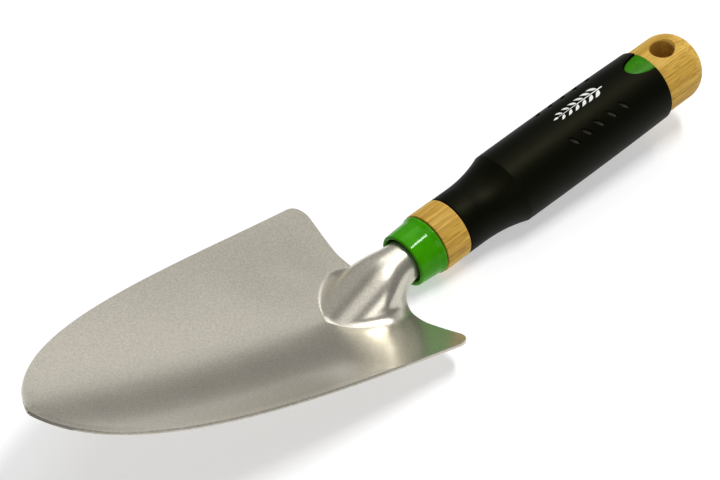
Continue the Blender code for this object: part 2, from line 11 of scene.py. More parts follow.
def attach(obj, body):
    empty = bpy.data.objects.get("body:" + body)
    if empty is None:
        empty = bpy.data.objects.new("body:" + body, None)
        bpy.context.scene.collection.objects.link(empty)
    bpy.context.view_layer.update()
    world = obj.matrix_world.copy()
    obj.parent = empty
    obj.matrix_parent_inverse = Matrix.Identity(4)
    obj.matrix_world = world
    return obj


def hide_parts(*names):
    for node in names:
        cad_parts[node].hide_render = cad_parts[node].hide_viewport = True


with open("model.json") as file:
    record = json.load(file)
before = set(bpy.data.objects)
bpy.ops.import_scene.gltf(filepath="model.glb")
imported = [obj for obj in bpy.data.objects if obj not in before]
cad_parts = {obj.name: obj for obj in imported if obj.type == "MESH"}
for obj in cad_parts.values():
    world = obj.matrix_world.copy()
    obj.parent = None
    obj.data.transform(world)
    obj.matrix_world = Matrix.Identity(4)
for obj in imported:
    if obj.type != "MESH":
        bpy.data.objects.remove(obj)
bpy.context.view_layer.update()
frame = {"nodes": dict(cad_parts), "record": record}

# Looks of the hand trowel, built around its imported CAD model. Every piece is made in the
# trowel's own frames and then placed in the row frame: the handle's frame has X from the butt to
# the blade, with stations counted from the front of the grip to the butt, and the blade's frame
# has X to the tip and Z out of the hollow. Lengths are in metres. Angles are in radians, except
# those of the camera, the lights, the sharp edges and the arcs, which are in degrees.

RIGHT = math.radians(90)
MERGE = 0.000005

# Camera, in the row frame
CAMERA_PLACE = (0.46621, 0.47002, 0.65571)
CAMERA_TURN = (46.453, -1.098, 137.290)
CAMERA_LENS = 120.02
CAMERA_SENSOR = 36.0
VIEW_GAMMA = 0.85

# Stage, and its lights: name, azimuth, angle from straight up, distance, size, radiance, roll
FLOOR_HALF = 3.0
FLOOR_DROP = 0.0002
WORLD_STRENGTH = 0.20
LIGHTS = (
    ("left_softbox", 183.0, 68.3, 2.0, (1.2, 2.3), 0.68, 0.0),
    ("back_softbox", -92.0, 57.0, 2.2, (2.0, 2.6), 0.34, 0.0),
    ("overhead_softbox", 10.0, 8.0, 2.0, (2.0, 1.1), 1.0, 0.0),
    ("top_light", 165.0, 19.0, 2.0, (0.16, 0.90), 48.0, -26.0),
    ("rear_window", -130.0, 34.0, 2.0, (0.8, 1.0), 1.8, 0.0),
    ("side_window", 74.0, 58.0, 1.8, (0.80, 0.75), 2.3, 0.0),
)

# Turn of the fine grain, so that no surface lies along the noise's own lattice
GRAIN_TURN = (0.7, 0.5, 0.3)

# Blade sheet, in the blade's frame
SHEET = 0.0012
SHEET_EDGE = 0.00028
REAR_X = 0.030
CORNER_RADIUS = 0.007
RIM_Z = 0.01435
RIM_LIFT = 0.0014
RIM_LOW_X = 0.117
FLOOR_X = 0.062
FLOOR_Z = 0.0008
OUTLINE = ((0.037, 0.0488), (0.0995, 0.0433), (0.1889, 0.0412), (0.2005, 0.0))
TIP_X = OUTLINE[3][0]
FLOOR_CURVE = (RIM_Z + RIM_LIFT - FLOOR_Z) / (TIP_X - FLOOR_X) ** 2
REAR_POWER = 1.5
FRONT_POWER = 2.0
POWER_TURN = (0.034, 0.090)
BAND_WIDTH = 0.0036
BAND_TILT = math.tan(math.radians(3.0))

# Neck pressed out of the sheet
NECK_END_X = 0.0187
STEEP_END_X = 0.034
SWELL_END_X = 0.060
NECK_RADIUS = 0.0085
SWELL_RADIUS = 0.014
SWELL_FILLET = 0.006
NECK_TAPER = (0.0225, 0.040)
WALL_ANGLES = (math.radians(90), math.radians(70))
WALL_TURN = (0.024, 0.034)
CREST_BEND_X = 0.030
CREST_BEND_RADIUS = 0.030
CREST_FRONT_ANGLE = math.radians(42)
NOTCH_START_X = 0.0185
NOTCH_ROUNDNESS = 1.6
SKIRT_END = 0.59
BESIDE_PART = 0.3
BESIDE_REACH = 0.008
BESIDE_SHARE = 0.35
BESIDE_COLUMNS = 8
WING_COLUMNS = 30
WING_CROWDING = 1.6
CROWN_PART = 0.5
WALL_PART = 0.7
WALL_LONGEST = 0.05
MIDDLE_REACH = 0.009
MIDDLE_SHARE = 0.19
NOSE_START_X = 0.150
SHEET_DETAIL = 5
FOOT_PASSES = 6
HALVINGS = 40

# Handle axis in the blade's frame
HANDLE_TILT = math.radians(19.0)
HANDLE_START = Vector((-0.00345, 0.0, 0.0240))

# Ferrule
FERRULE_FRONT = -0.0252
FERRULE_REAR = -0.0124
FERRULE_BORE = 0.0102
FERRULE_MOUTH = 0.0096
FERRULE_LIP_RADIUS = 0.0113
FERRULE_SIDE = ((-0.0220, 0.0115), (-0.0180, 0.01175), (-0.0152, 0.0119))
FERRULE_RIM_RADIUS = 0.0126
FERRULE_RIM_ROUNDING = 0.0009
FERRULE_STEP = (0.0020, 0.0032)
FERRULE_SEGMENTS = 160

# Wooden handle
CORE_FRONT = -0.0200
CORE_EDGE = 0.0004
COLLAR_RADIUS = 0.0128
SEAT_RADIUS = 0.0105
BUTT_STATION = 0.1120
BUTT_RADIUS = 0.0148
BUTT_END = 0.1376
BUTT_REACH = 0.13754  # the flat, kept a hair inside the solid one
BUTT_ROUNDING = 0.0110
CORE_SEGMENTS = 144
HOLE_STATION = 0.1217
HOLE_RADIUS = 0.005
HOLE_RIM_RADIUS = 0.0059
HOLE_RIM_DEPTH = 0.0011
HOLE_CUT_EXTRA = 0.0015
HOLE_LEAD = 0.001
HOLE_STEPS = 12
HOLE_SEGMENTS = 72
TANG_RADIUS = 0.0045
TANG_TIP_RADIUS = 0.003
TANG_END = 0.070
GAP = 0.0003

# Rubber grip and its notches; the rows and columns are mesh counts between its marked places
GRIP_FRONT = 0.00015
GRIP_REAR = 0.1117
GRIP_BORE = SEAT_RADIUS + GAP
GRIP_NECK_RADIUS = 0.0127
GRIP_RADIUS = 0.0162
GRIP_BULGE_STATION = 0.060
GRIP_BULGE_TAPER = 0.00045
FLARE_START = 0.008
FLARE_END_TOP = 0.0272
FLARE_END_BELOW = 0.0320
FLARE_POWER = 2.2
FLARE_PAST = 0.034
GRIP_EDGE = 0.0005
GRIP_ROWS = (60, 14, 150, 12)
GRIP_COLUMNS = (12, 48, 40)
THUMB_DEPTH = 0.0009
THUMB_ANGLE = math.radians(62)
NOTCH_COUNT = 5
NOTCH_START = 0.0600
NOTCH_PITCH = 0.0071
NOTCH_ANGLE = math.radians(40.0)
NOTCH_SLANT = math.radians(38)
NOTCH_LENGTH = 0.0062
NOTCH_WIDTH = 0.0018
NOTCH_DEPTH = 0.0011
NOTCH_TAPER = 0.25
NOTCH_STATIONS = (0.0567, 0.0917)
NOTCH_ANGLES = (math.radians(24), math.radians(54))
NOTCH_SHINE_DEPTH = 0.0008

# Printed sprig: its stem, its leaves in pairs, and the section of the ink as (side, lift)
SPRIG_START = 0.0625
SPRIG_LENGTH = 0.0245
SPRIG_ANGLE = math.radians(-3.5)
LEAF_PAIRS = 6
LEAF_LENGTH = 0.0048
LEAF_FATNESS = 0.17
LEAF_TURN = math.radians(48)
STEM_WIDTH = 0.00030
INK_HEIGHT = 0.00004
INK_ROOT = 0.00010
INK_TIP = 0.00003
INK_TOP = tuple((side, INK_HEIGHT) for side in (1, 0, -1))
INK_SECTION = INK_TOP + ((-1, -INK_ROOT), (1, -INK_ROOT))
LEAF_STEPS = 14
LEAF_CURL = 0.35
LEAF_SHAPE = (0.8, 1.2)
LEAF_OFFSET = 1.4
LEAF_SPREAD = (0.90, 0.80)
LEAF_SHRINK = 0.30
END_LEAF = 0.6
STEM_STEPS = 20
STEM_TAPER = 0.6

# Green inlay, and the recess for it
INLAY_LENGTH = 0.0112
INLAY_HALF_WIDTH = 0.0055
INLAY_RADIUS = 0.0153
INLAY_FLOOR = 0.0131
INLAY_CLEARANCE = 0.0004
INLAY_STEPS = 48
INLAY_SINK = 0.0008
INLAY_ROUNDING = 0.0006
INLAY_CROWN = (0.8, 0.6, 0.4, 0.2)
RECESS_TOP = 0.020
RECESS_OVERRUN = 0.002


# ---------------------------------------------------------------- frames of the handle and blade


def handle_frame():
    """The handle's frame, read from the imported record's mount on the flat of the butt."""
    mount = frame["record"]["mounts"][0]
    along = -Vector(mount["axis"]).normalized()
    origin = Vector(mount["pos_m"]) + along * BUTT_END
    turn = Matrix(((along.x, 0.0, -along.z), (0.0, 1.0, 0.0), (along.z, 0.0, along.x)))
    return Matrix.Translation(origin) @ turn.to_4x4()


HANDLE = handle_frame()
BLADE = HANDLE @ Matrix.Rotation(-HANDLE_TILT, 4, "Y") @ Matrix.Translation(-HANDLE_START)


def place_mesh(name, bm, where, sharp=35.0):
    """Mesh object whose points are put in the row frame, so that its own place is the origin."""
    bmesh.ops.transform(bm, matrix=where, verts=bm.verts)
    mesh = bpy.data.meshes.new(name)
    bm.to_mesh(mesh)
    bm.free()
    mesh.shade_smooth()
    mesh.set_sharp_from_angle(angle=math.radians(sharp))
    made = bpy.data.objects.new(name, mesh)
    bpy.context.scene.collection.objects.link(made)
    return made


def bake_modifiers(obj, sharp=35.0):
    """Replace an object's mesh by its mesh with the modifiers applied."""
    graph = bpy.context.evaluated_depsgraph_get()
    mesh = bpy.data.meshes.new_from_object(obj.evaluated_get(graph), depsgraph=graph)
    obj.modifiers.clear()
    obj.data = mesh
    mesh.shade_smooth()
    mesh.set_sharp_from_angle(angle=math.radians(sharp))


def cut(obj, cutter):
    """Take a cutter's shape out of an object."""
    made = obj.modifiers.new("cut", "BOOLEAN")
    made.operation = "DIFFERENCE"
    made.object = cutter


def smoothstep(low, high, value):
    t = min(max((value - low) / (high - low), 0.0), 1.0)
    return t * t * (3.0 - 2.0 * t)


def spaced(start, end, count):
    return [start + (end - start) * i / count for i in range(count)]


# ---------------------------------------------------------------- blade


OUTLINE_CURVE = interpolate_bezier(*[Vector((x, y, 0.0)) for x, y in OUTLINE], 600)
OUTLINE_X = np.array([point.x for point in OUTLINE_CURVE])
OUTLINE_Y = np.array([point.y for point in OUTLINE_CURVE])


def half_width(x):
    return float(np.interp(x, OUTLINE_X, OUTLINE_Y))


def rounded_half_width(x):
    along = max(REAR_X + CORNER_RADIUS - x, 0.0)
    return half_width(x) - CORNER_RADIUS + math.sqrt(max(CORNER_RADIUS**2 - along**2, 0.0))


def rim_z(x):
    return RIM_Z + RIM_LIFT * ((x - RIM_LOW_X) / (TIP_X - RIM_LOW_X)) ** 2


def floor_z(x):
    return FLOOR_Z + FLOOR_CURVE * (x - FLOOR_X) ** 2


def curve_power(x):
    """Power of the hollow's curve across: a parabola in front, straighter wings at the rear."""
    return REAR_POWER + (FRONT_POWER - REAR_POWER) * smoothstep(*POWER_TURN, x)


def rim_band(x, y):
    """Drop of the narrow band along the rim, which is pressed a little flatter."""
    inside = float(np.min(np.hypot(OUTLINE_X - x, OUTLINE_Y - y)))
    return BAND_TILT * max(BAND_WIDTH - inside, 0.0)


def dish_z(x, y):
    """Height of the hollow, which curves across between the floor line and the rim."""
    width = half_width(x)
    if width <= 0.0:
        return rim_z(x)
    return floor_z(x) + (rim_z(x) - floor_z(x)) * (y / width) ** curve_power(x)


def dish_slope(x, y):
    """Slope of the hollow across, at y."""
    power = curve_power(x)
    width = half_width(x)
    return power * (rim_z(x) - floor_z(x)) / width * (y / width) ** (power - 1.0)


def crest_z(x):
    """Side view of the neck's crest: handle slope, convex bend, front wall, fillet, floor."""
    slope = HANDLE_TILT
    front = CREST_FRONT_ANGLE
    start_z = HANDLE_START.z + (HANDLE_START.x - CREST_BEND_X) * math.tan(slope)
    start_z += NECK_RADIUS / math.cos(slope)
    if x <= CREST_BEND_X:
        return start_z + (CREST_BEND_X - x) * math.tan(slope)
    bend_x = CREST_BEND_X + CREST_BEND_RADIUS * (math.sin(front) - math.sin(slope))
    if x <= bend_x:
        sine = math.sin(slope) + (x - CREST_BEND_X) / CREST_BEND_RADIUS
        return start_z - CREST_BEND_RADIUS * (math.cos(slope) - math.sqrt(1.0 - sine * sine))
    bend_z = start_z - CREST_BEND_RADIUS * (math.cos(slope) - math.cos(front))
    fillet_drop = SWELL_FILLET * (1.0 - math.cos(front))
    wall_x = bend_x + (bend_z - fillet_drop - FLOOR_Z) / math.tan(front)
    if x <= wall_x:
        return bend_z - (x - bend_x) * math.tan(front)
    sine = math.sin(front) - (x - wall_x) / SWELL_FILLET
    if sine <= 0.0:
        return floor_z(x)
    return max(FLOOR_Z + SWELL_FILLET * (1.0 - math.sqrt(1.0 - sine * sine)), floor_z(x))


def neck_section(x):
    """Crown radius, wall angle, wall length and end point of the neck's cross-section at x."""
    top = crest_z(x)
    radius = NECK_RADIUS + (SWELL_RADIUS - NECK_RADIUS) * smoothstep(*NECK_TAPER, x)
    steep = WALL_ANGLES[0] + (WALL_ANGLES[1] - WALL_ANGLES[0]) * smoothstep(*WALL_TURN, x)

    def foot(angle, wall):
        y = radius * math.sin(angle) + wall * math.cos(angle)
        z = top - radius * (1.0 - math.cos(angle)) - wall * math.sin(angle)
        rise = 0.0
        for _ in range(FOOT_PASSES):
            end_y = y + SWELL_FILLET * (math.sin(angle) + math.sin(rise))
            rise = math.atan(dish_slope(x, end_y))
        end_z = z - SWELL_FILLET * (math.cos(rise) - math.cos(angle))
        return end_y, end_z, rise

    def above(angle, wall):
        end_y, end_z, _ = foot(angle, wall)
        return end_z - dish_z(x, end_y)

    straight = above(steep, 0.0) > 0.0
    low, high = 0.0, WALL_LONGEST if straight else steep
    for _ in range(HALVINGS):
        middle = 0.5 * (low + high)
        gap = above(steep, middle) if straight else above(middle, 0.0)
        if gap > 0.0:
            low = middle
        else:
            high = middle
    angle, wall = (steep, low) if straight else (low, 0.0)
    end_y, _, rise = foot(angle, wall)
    return top, radius, angle, wall, end_y, rise


def section_point(section, part):
    """Point (y, z) of a neck section, for a part from 0 at the crest to 1 at the foot."""
    top, radius, angle, wall, _, rise = section
    if part <= CROWN_PART:
        turn = angle * part / CROWN_PART
        return radius * math.sin(turn), top - radius * (1.0 - math.cos(turn))
    crown_y = radius * math.sin(angle)
    crown_z = top - radius * (1.0 - math.cos(angle))
    if part <= WALL_PART:
        down = wall * (part - CROWN_PART) / (WALL_PART - CROWN_PART)
        return crown_y + down * math.cos(angle), crown_z - down * math.sin(angle)
    wall_y = crown_y + wall * math.cos(angle)
    wall_z = crown_z - wall * math.sin(angle)
    turn = angle - (angle + rise) * (part - WALL_PART) / (1.0 - WALL_PART)
    y = wall_y + SWELL_FILLET * (math.sin(angle) - math.sin(turn))
    return y, wall_z - SWELL_FILLET * (math.cos(turn) - math.cos(angle))


def section_height(section, x, y):
    """Height of the sheet at y, where the neck section is no steeper than its wall angle."""
    top, radius, angle, wall, end_y, _ = section
    crown_y = radius * math.sin(angle)
    if y <= crown_y:
        return top - radius + math.sqrt(radius**2 - y**2)
    if y >= end_y:
        return dish_z(x, y)
    crown_z = top - radius * (1.0 - math.cos(angle))
    wall_y = crown_y + wall * math.cos(angle)
    if y <= wall_y:
        return crown_z - (y - crown_y) * math.tan(angle)
    wall_z = crown_z - wall * math.sin(angle)
    sine = math.sin(angle) - (y - wall_y) / SWELL_FILLET
    return wall_z - SWELL_FILLET * (math.sqrt(1.0 - sine * sine) - math.cos(angle))


def kept_part(x):
    """How much of its section the sheet keeps behind the wings; past 1 it reaches the wing."""
    along = min(max((x - NOTCH_START_X) / (REAR_X - NOTCH_START_X), 0.0), 1.0)
    bend = 1.0 - (1.0 - along**NOTCH_ROUNDNESS) ** (1.0 / NOTCH_ROUNDNESS)
    return SKIRT_END + (1.0 + BESIDE_PART - SKIRT_END) * bend


def sheet_point(x, section, part):
    """Point (y, z) of a part of the section at x, and past 1 of the wing beside its foot."""
    if part <= 1.0:
        return section_point(section, part)
    y = section[4] + BESIDE_REACH * (part - 1.0) / BESIDE_PART
    return y, dish_z(x, y)


def wing_places(reach, width):
    """Places across the wing, from the foot of the neck to the rim, closer near the rim."""
    beside = min(BESIDE_REACH, BESIDE_SHARE * (width - reach))
    inner = spaced(reach, reach + beside, BESIDE_COLUMNS)
    shares = [1.0 - (1.0 - part) ** WING_CROWDING for part in spaced(0.0, 1.0, WING_COLUMNS)]
    outer = [reach + beside + (width - reach - beside) * share for share in shares]
    return inner[1:] + outer + [width]


def neck_parts():
    detail = SHEET_DETAIL
    parts = spaced(0.0, CROWN_PART, 4 * detail) + spaced(CROWN_PART, WALL_PART, detail)
    return parts + spaced(WALL_PART, 1.0, 3 * detail) + [1.0]


def blade_rows():
    """Stations of the sheet from the rear edge to the tip."""
    detail = SHEET_DETAIL
    shoulder_x = REAR_X + CORNER_RADIUS
    corner = spaced(0.0, RIGHT, 3 * detail)
    rows = [shoulder_x - CORNER_RADIUS * math.cos(turn) for turn in corner]
    rows += spaced(shoulder_x, SWELL_END_X, 9 * detail)
    rows += spaced(SWELL_END_X, NOSE_START_X, 5 * detail)
    nose = spaced(0.0, RIGHT, 7 * detail) + [RIGHT]
    rows += [NOSE_START_X + (TIP_X - NOSE_START_X) * math.sin(turn) for turn in nose]
    return rows


def sheet_row(x, parts, shares):
    """Half a row of the blade, from the middle to the rim."""
    width = rounded_half_width(x)
    reach = min(MIDDLE_REACH, MIDDLE_SHARE * width)
    if x <= STEEP_END_X:
        section = neck_section(x)
        reach = section[4]
        points = [section_point(section, part) for part in parts]
    elif x < SWELL_END_X:
        section = neck_section(x)
        reach = max(section[4], reach)
        points = [(reach * share, section_height(section, x, reach * share)) for share in shares]
    else:
        points = [(reach * share, dish_z(x, reach * share)) for share in shares]
    points += [(y, dish_z(x, y) - rim_band(x, y)) for y in wing_places(reach, width)]
    return [(x, y, z) for y, z in points]


def blade_sheet():
    bm = bmesh.new()
    parts = neck_parts()
    beside = spaced(1.0, 1.0 + BESIDE_PART, BESIDE_COLUMNS)[1:] + [1.0 + BESIDE_PART]
    base = neck_section(STEEP_END_X)
    shares = [section_point(base, part)[0] / section_point(base, 1.0)[0] for part in parts]
    rows = []
    for turn in spaced(0.0, RIGHT, 5 * SHEET_DETAIL):
        x = NECK_END_X + (REAR_X - NECK_END_X) * math.sin(turn)
        section = neck_section(x)
        share = kept_part(x) / (1.0 + BESIDE_PART)
        rows.append([(x, *sheet_point(x, section, part * share)) for part in parts + beside])
    for x in blade_rows():
        rows.append(sheet_row(x, parts, shares))
    grid = []
    for row in rows:
        left = [bm.verts.new((x, -y, z)) for x, y, z in reversed(row[1:])]
        right = [bm.verts.new(point) for point in row]
        grid.append(left + right)
    for near, far in zip(grid, grid[1:]):
        trim = (len(far) - len(near)) // 2
        matched = far[trim : len(far) - trim]
        for i in range(len(near) - 1):
            bm.faces.new((near[i], matched[i], matched[i + 1], near[i + 1]))
    bmesh.ops.remove_doubles(bm, verts=bm.verts, dist=MERGE)
    return bm


def make_blade():
    blade = place_mesh("blade_fine", blade_sheet(), BLADE)
    skin = blade.modifiers.new("sheet", "SOLIDIFY")
    skin.thickness = SHEET
    skin.offset = -1.0
    skin.use_even_offset = True
    # The sheet's edge faces take the second material, a near-black steel painted as the dark
    # reflection those faces show.
    skin.material_offset_rim = 1
    edge = blade.modifiers.new("edge", "BEVEL")
    edge.width = SHEET_EDGE
    edge.segments = 3
    edge.limit_method = "ANGLE"
    edge.angle_limit = math.radians(60)
    # The rounded arrises take the third material, a darker steel painted as shade along the rim.
    edge.material = 2
    bake_modifiers(blade)
    blade.data.materials.append(steel_lacquer())
    blade.data.materials.append(painted_dark_edge())
    blade.data.materials.append(arris_painted_shade())
    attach(blade, "root")
    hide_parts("blade")
    return blade


# ---------------------------------------------------------------- turned pieces


def turned(profile, segments):
    """Solid of revolution about the handle axis from a closed outline of (station, radius)."""
    bm = bmesh.new()
    ring = [bm.verts.new((-station, 0.0, radius)) for station, radius in profile]
    edges = [bm.edges.new((ring[i - 1], ring[i])) for i in range(len(ring))]
    bmesh.ops.spin(
        bm,
        geom=ring + edges,
        cent=(0.0, 0.0, 0.0),
        axis=(1.0, 0.0, 0.0),
        angle=math.tau,
        steps=segments,
        use_merge=True,
    )
    bmesh.ops.remove_doubles(bm, verts=bm.verts, dist=MERGE)
    bmesh.ops.recalc_face_normals(bm, faces=bm.faces)
    return bm


def arc(centre, radius, start, end, steps):
    """Points of an arc; angles in degrees from the butt's direction towards the outside."""
    points = []
    for i in range(steps + 1):
        turn = math.radians(start + (end - start) * i / steps)
        points.append((centre[0] + radius * math.cos(turn), centre[1] + radius * math.sin(turn)))
    return points


def divided_line(points, steps):
    """Evenly spaced points along straight lines between the given (station, radius) ones."""
    stations = [station for station, _ in points]
    radii = [radius for _, radius in points]
    line = []
    for i in range(steps + 1):
        station = stations[0] + (stations[-1] - stations[0]) * i / steps
        line.append((station, float(np.interp(station, stations, radii))))
    return line


def make_ferrule():
    lip = 0.5 * (FERRULE_LIP_RADIUS - FERRULE_MOUTH)
    rim = FERRULE_RIM_ROUNDING
    profile = [
        (FERRULE_REAR, FERRULE_BORE),
        (FERRULE_FRONT + FERRULE_STEP[1], FERRULE_BORE),
        (FERRULE_FRONT + FERRULE_STEP[0], FERRULE_MOUTH),
    ]
    profile += arc((FERRULE_FRONT + lip, FERRULE_MOUTH + lip), lip, 250, 90, 14)
    profile += divided_line(FERRULE_SIDE, 12)
    profile += arc((FERRULE_REAR - rim, FERRULE_RIM_RADIUS - rim), rim, 120, 0, 12)
    ferrule = place_mesh("ferrule_fine", turned(profile, FERRULE_SEGMENTS), HANDLE, sharp=50.0)
    ferrule.data.materials.append(green_enamel())
    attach(ferrule, "root")
    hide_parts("ferrule")


def make_core():
    edge = CORE_EDGE
    profile = [
        (TANG_END + GAP, 0.0),
        (TANG_END + GAP, TANG_TIP_RADIUS + GAP),
        (CORE_FRONT, TANG_RADIUS + GAP),
        (CORE_FRONT, FERRULE_BORE - GAP),
        (FERRULE_REAR + GAP, FERRULE_BORE - GAP),
    ]
    profile += arc((FERRULE_REAR + GAP + edge, COLLAR_RADIUS - edge), edge, 180, 90, 4)
    profile += arc((GRIP_FRONT - GAP - edge, COLLAR_RADIUS - edge), edge, 90, 0, 4)
    profile += [(GRIP_FRONT - GAP, SEAT_RADIUS), (BUTT_STATION, SEAT_RADIUS)]
    profile += arc((BUTT_STATION + edge, BUTT_RADIUS - edge), edge, 180, 90, 4)
    rounding_centre = (BUTT_REACH - BUTT_ROUNDING, BUTT_RADIUS - BUTT_ROUNDING)
    profile += arc(rounding_centre, BUTT_ROUNDING, 90, 0, 36)
    profile += [(BUTT_REACH, 0.0)]
    core = place_mesh("handle_fine", turned(profile, CORE_SEGMENTS), HANDLE, sharp=40.0)
    cutter = place_mesh("hole_guide", hole_cutter(), HANDLE)
    cut(core, cutter)
    bake_modifiers(core, sharp=40.0)
    bpy.data.objects.remove(cutter)
    core.data.materials.append(ash_wood())
    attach(core, "root")
    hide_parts("handle_core")


def hole_cutter():
    """Bore through the butt whose two rims are worn round where it meets the turned surface."""
    bm = bmesh.new()
    heights = []
    deep = BUTT_RADIUS + HOLE_CUT_EXTRA
    straight = BUTT_RADIUS - HOLE_RIM_DEPTH
    slope = (HOLE_RIM_RADIUS - HOLE_RADIUS) / HOLE_RIM_DEPTH
    for i in range(HOLE_STEPS + 1):
        along = (deep - straight + HOLE_LEAD) * (1.0 - i / HOLE_STEPS)
        flare = HOLE_RADIUS + max(along - HOLE_LEAD, 0.0) * slope
        heights.append((straight - HOLE_LEAD + along, flare))
    line = [bm.verts.new((0.0, 0.0, -deep))]
    line += [bm.verts.new((radius, 0.0, -height)) for height, radius in heights]
    line += [bm.verts.new((radius, 0.0, height)) for height, radius in reversed(heights)]
    line += [bm.verts.new((0.0, 0.0, deep))]
    edges = [bm.edges.new(pair) for pair in zip(line, line[1:])]
    bmesh.ops.spin(
        bm,
        geom=line + edges,
        cent=(0.0, 0.0, 0.0),
        axis=(0.0, 0.0, 1.0),
        angle=math.tau,
        steps=HOLE_SEGMENTS,
        use_merge=True,
    )
    bmesh.ops.remove_doubles(bm, verts=bm.verts, dist=MERGE)
    bmesh.ops.recalc_face_normals(bm, faces=bm.faces)
    bmesh.ops.translate(bm, verts=bm.verts, vec=(-HOLE_STATION, 0.0, 0.0))
    return bm


# ---------------------------------------------------------------- rubber grip


def flare_end(angle):
    return FLARE_END_TOP + (FLARE_END_BELOW - FLARE_END_TOP) * 0.5 * (1.0 - math.cos(angle))


def body_radius(station):
    away = (station - GRIP_BULGE_STATION) / (GRIP_REAR - GRIP_BULGE_STATION)
    return GRIP_RADIUS - GRIP_BULGE_TAPER * away * away


def flare_radius(share, angle):
    ridge = body_radius(flare_end(angle))
    radius = GRIP_NECK_RADIUS + (ridge - GRIP_NECK_RADIUS) * share**FLARE_POWER
    if abs(angle) < THUMB_ANGLE:
        window = math.cos(0.5 * math.pi * angle / THUMB_ANGLE) ** 2
        radius -= THUMB_DEPTH * window * math.sin(math.pi * share)
    return radius


def notch_depth(station, angle):
    """How deep the moulded notches are at a place on the grip."""
    depth = 0.0
    around = (abs(angle) - NOTCH_ANGLE) * GRIP_RADIUS
    nearest = round((station - NOTCH_START) / NOTCH_PITCH)
    for i in (nearest - 1, nearest, nearest + 1):
        if 0 <= i < NOTCH_COUNT:
            back = station - (NOTCH_START + NOTCH_PITCH * i)
            along = around * math.cos(NOTCH_SLANT) + back * math.sin(NOTCH_SLANT)
            across = back * math.cos(NOTCH_SLANT) - around * math.sin(NOTCH_SLANT)
            u = along / (0.5 * NOTCH_LENGTH)
            v = across / (0.5 * NOTCH_WIDTH * (1.0 + NOTCH_TAPER * u))
            inside = 1.0 - u * u - v * v
            if inside > 0.0:
                depth = max(depth, NOTCH_DEPTH * inside**0.5)
    return depth


def grip_stations():
    """Stations along the grip, closer together on the flare and where the notches are."""
    marks = (FLARE_START, FLARE_PAST, *NOTCH_STATIONS, GRIP_REAR - GRIP_EDGE)
    stations = []
    for start, end, count in zip(marks, marks[1:], GRIP_ROWS):
        stations += spaced(start, end, count)
    return stations + [marks[-1]]


def grip_angles():
    """Angles round the grip, closer together where its notches are; 0 is the top."""
    marks = (0.0, *NOTCH_ANGLES, math.pi)
    half = []
    for start, end, count in zip(marks, marks[1:], GRIP_COLUMNS):
        half += spaced(start, end, count)
    return half + [-angle for angle in reversed(half[1:])]


def grip_line(angle):
    edge = GRIP_EDGE
    centre = (GRIP_FRONT + edge, GRIP_NECK_RADIUS - edge)
    line = [(GRIP_REAR, GRIP_BORE), (GRIP_FRONT, GRIP_BORE)] + arc(centre, edge, 180, 90, 4)
    end = flare_end(angle)
    for station in grip_stations():
        if station <= end:
            radius = flare_radius((station - FLARE_START) / (end - FLARE_START), angle)
        else:
            radius = body_radius(station)
        line.append((station, radius - notch_depth(station, angle)))
    last = (GRIP_REAR - edge, body_radius(GRIP_REAR) - edge)
    return line + arc(last, edge, 75, 0, 4)


def make_sleeve():
    bm = bmesh.new()
    columns = []
    for angle in grip_angles():
        verts = []
        for station, radius in grip_line(angle):
            y = radius * math.sin(angle)
            z = radius * math.cos(angle)
            verts.append(bm.verts.new((-station, y, z)))
        columns.append(verts)
    for i in range(len(columns)):
        near = columns[i - 1]
        far = columns[i]
        for j in range(len(near)):
            bm.faces.new((near[j - 1], near[j], far[j], far[j - 1]))
    bmesh.ops.recalc_face_normals(bm, faces=bm.faces)
    sleeve = place_mesh("grip_fine", bm, HANDLE, sharp=55.0)
    clear = INLAY_CLEARANCE
    recess = tongue(INLAY_LENGTH + clear, INLAY_HALF_WIDTH + clear, INLAY_FLOOR - GAP, RECESS_TOP)
    rear = [vert for vert in recess.verts if abs(vert.co.x + GRIP_REAR) < MERGE]
    bmesh.ops.translate(recess, verts=rear, vec=(-RECESS_OVERRUN, 0.0, 0.0))
    cutter = place_mesh("recess_guide", recess, HANDLE)
    cut(sleeve, cutter)
    bake_modifiers(sleeve, sharp=45.0)
    bpy.data.objects.remove(cutter)
    sleeve.data.materials.append(black_rubber())
    sleeve.data.materials.append(notch_rubber_painted_highlight())
    # Faces deep in the notches take the second, paler rubber: a painted highlight on the notch
    # walls.
    into_handle = HANDLE.inverted()
    for face in sleeve.data.polygons:
        place = into_handle @ face.center
        if notch_depth(-place.x, math.atan2(place.y, place.z)) > NOTCH_SHINE_DEPTH:
            face.material_index = 1
    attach(sleeve, "root")
    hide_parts("grip_sleeve")


def tongue(length, half, low, high):
    """Upright solid with a half-elliptic plan, its straight end at the rear of the grip."""
    bm = bmesh.new()
    base = []
    for turn in spaced(0.0, math.pi, INLAY_STEPS) + [math.pi]:
        x = length * math.sin(turn) - GRIP_REAR
        base.append(bm.verts.new((x, half * math.cos(turn), low)))
    face = bm.faces.new(base)
    made = bmesh.ops.extrude_face_region(bm, geom=[face])
    top = [item for item in made["geom"] if isinstance(item, bmesh.types.BMVert)]
    bmesh.ops.translate(bm, verts=top, vec=(0.0, 0.0, high - low))
    bmesh.ops.recalc_face_normals(bm, faces=bm.faces)
    return bm


